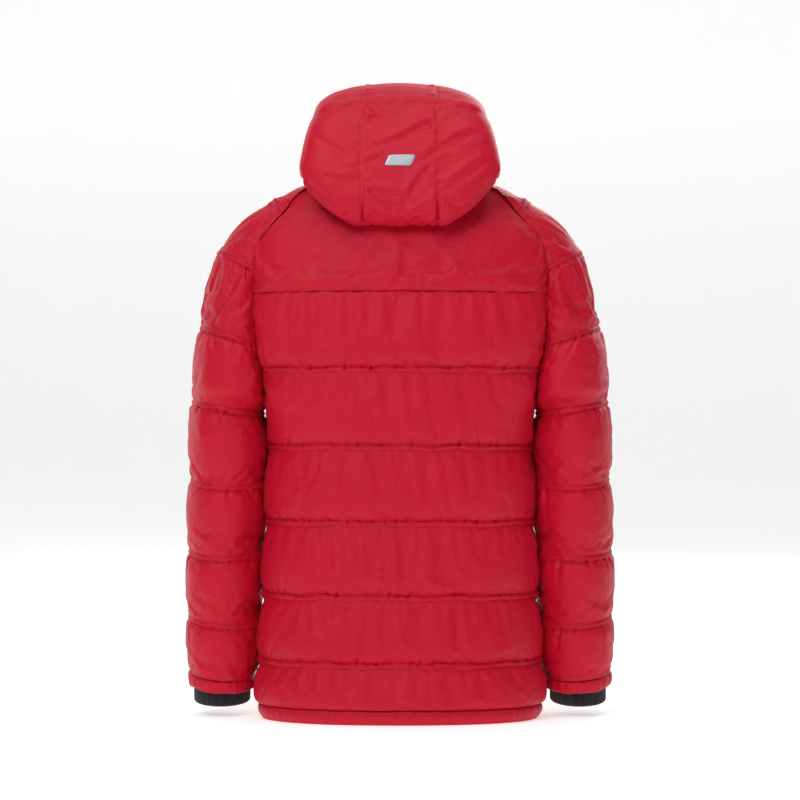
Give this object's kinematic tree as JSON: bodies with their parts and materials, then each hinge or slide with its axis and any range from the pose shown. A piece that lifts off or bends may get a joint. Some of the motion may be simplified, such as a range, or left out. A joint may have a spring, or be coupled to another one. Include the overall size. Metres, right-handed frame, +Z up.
{
  "type": "hooded quilted ski jacket",
  "caption": "Padded ski jacket with horizontal quilting, raglan sleeves with knit inner cuffs, raised hood, stand collar and front zip.",
  "frame": {"origin": "centre of the bounding box at the bottom of the hem", "axes": "+Z up from the hem to the hood, -Y out of the front zip, +X towards the wearer's left sleeve"},
  "size_m": [0.6594, 0.279, 0.9551],
  "materials": {
    "shell": "padded woven polyester with a soft sheen",
    "lining": "plain woven lining",
    "rib_knit": "rib knit",
    "tape": "woven zip and hanger tape",
    "zip_plastic": "moulded zip teeth and pulls",
    "zip_metal": "dark enamelled slider",
    "reflective_badge": "plain silver reflective film"
  },
  "bodies": {
    "torso": {"back_panel": "shell", "back_yoke": "shell", "front_panel_left": "shell", "front_panel_right": "shell", "front_yoke_left": "shell", "front_yoke_right": "shell", "shoulder_left": "shell", "shoulder_right": "shell", "hem_band": "shell", "collar": "shell", "hood_roll": "shell", "lining_back": "lining", "lining_left": "lining", "lining_right": "lining", "zip_tape_left": "tape", "zip_tape_right": "tape", "zip_teeth_left": "zip_plastic", "zip_teeth_right": "zip_plastic", "zip_stop_left": "zip_metal", "zip_stop_right": "zip_metal", "pocket_welt_left": "shell", "pocket_welt_right": "shell", "pocket_zip_left": "zip_plastic", "pocket_zip_right": "zip_plastic", "pocket_bag_left": "lining", "pocket_bag_right": "lining", "zip_box": "zip_plastic", "wind_guard": "lining", "hanger_loop": "tape", "neck_label": "tape"},
    "main_slider": {"main_slider": "zip_metal"},
    "main_pull": {"main_pull": "zip_plastic"},
    "hood": {"hood_centre": "shell", "hood_side_left": "shell", "hood_side_right": "shell", "hood_hem": "shell", "hood_lining": "lining", "hood_badge": "reflective_badge"},
    "pocket_slider_left": {"pocket_slider_left": "zip_metal"},
    "pocket_pull_left": {"pocket_pull_left": "zip_plastic"},
    "sleeve_left": {"sleeve_back_left": "shell", "sleeve_front_left": "shell", "cuff_band_left": "shell", "rib_cuff_left": "rib_knit", "sleeve_lining_left": "lining"},
    "pocket_slider_right": {"pocket_slider_right": "zip_metal"},
    "pocket_pull_right": {"pocket_pull_right": "zip_plastic"},
    "sleeve_right": {"sleeve_back_right": "shell", "sleeve_front_right": "shell", "cuff_band_right": "shell", "rib_cuff_right": "rib_knit", "sleeve_lining_right": "lining"}
  },
  "joints": [
    {"name": "main_zip", "type": "slide", "parent": "torso", "child": "main_slider", "axis": [0, 0.0499, 0.9988], "range_m": [-0.82, 0]},
    {"name": "main_pull_swing", "type": "hinge", "parent": "main_slider", "child": "main_pull", "pos_m": [0, -0.09857, 0.84479], "axis": [-1, 0, 0], "range_deg": [0, 150]},
    {"name": "hood_tilt", "type": "hinge", "parent": "torso", "child": "hood", "pos_m": [0, 0.13479, 0.7996], "axis": [-1, 0, 0], "range_deg": [0, 24]},
    {"name": "pocket_zip_left_slide", "type": "slide", "parent": "torso", "child": "pocket_slider_left", "axis": [-0.1179, -0.0113, 0.993], "range_m": [-0.104, 0]},
    {"name": "pocket_pull_left_swing", "type": "hinge", "parent": "pocket_slider_left", "child": "pocket_pull_left", "pos_m": [0.13032, -0.10024, 0.34539], "axis": [-0.8818, -0.4587, -0.1099], "range_deg": [0, 140]},
    {"name": "sleeve_left_raise", "type": "hinge", "parent": "torso", "child": "sleeve_left", "pos_m": [0.2753, 0, 0.7023], "axis": [0, -1, 0], "range_deg": [0, 30], "stiffness_Nm_per_rad": 1.5},
    {"name": "pocket_zip_right_slide", "type": "slide", "parent": "torso", "child": "pocket_slider_right", "axis": [0.1179, -0.0113, 0.993], "range_m": [-0.104, 0]},
    {"name": "pocket_pull_right_swing", "type": "hinge", "parent": "pocket_slider_right", "child": "pocket_pull_right", "pos_m": [-0.13032, -0.10024, 0.34539], "axis": [-0.8818, 0.4587, 0.1099], "range_deg": [0, 140]},
    {"name": "sleeve_right_raise", "type": "hinge", "parent": "torso", "child": "sleeve_right", "pos_m": [-0.2753, 0, 0.7023], "axis": [0, 1, 0], "range_deg": [0, 30], "stiffness_Nm_per_rad": 1.5}
  ]
}
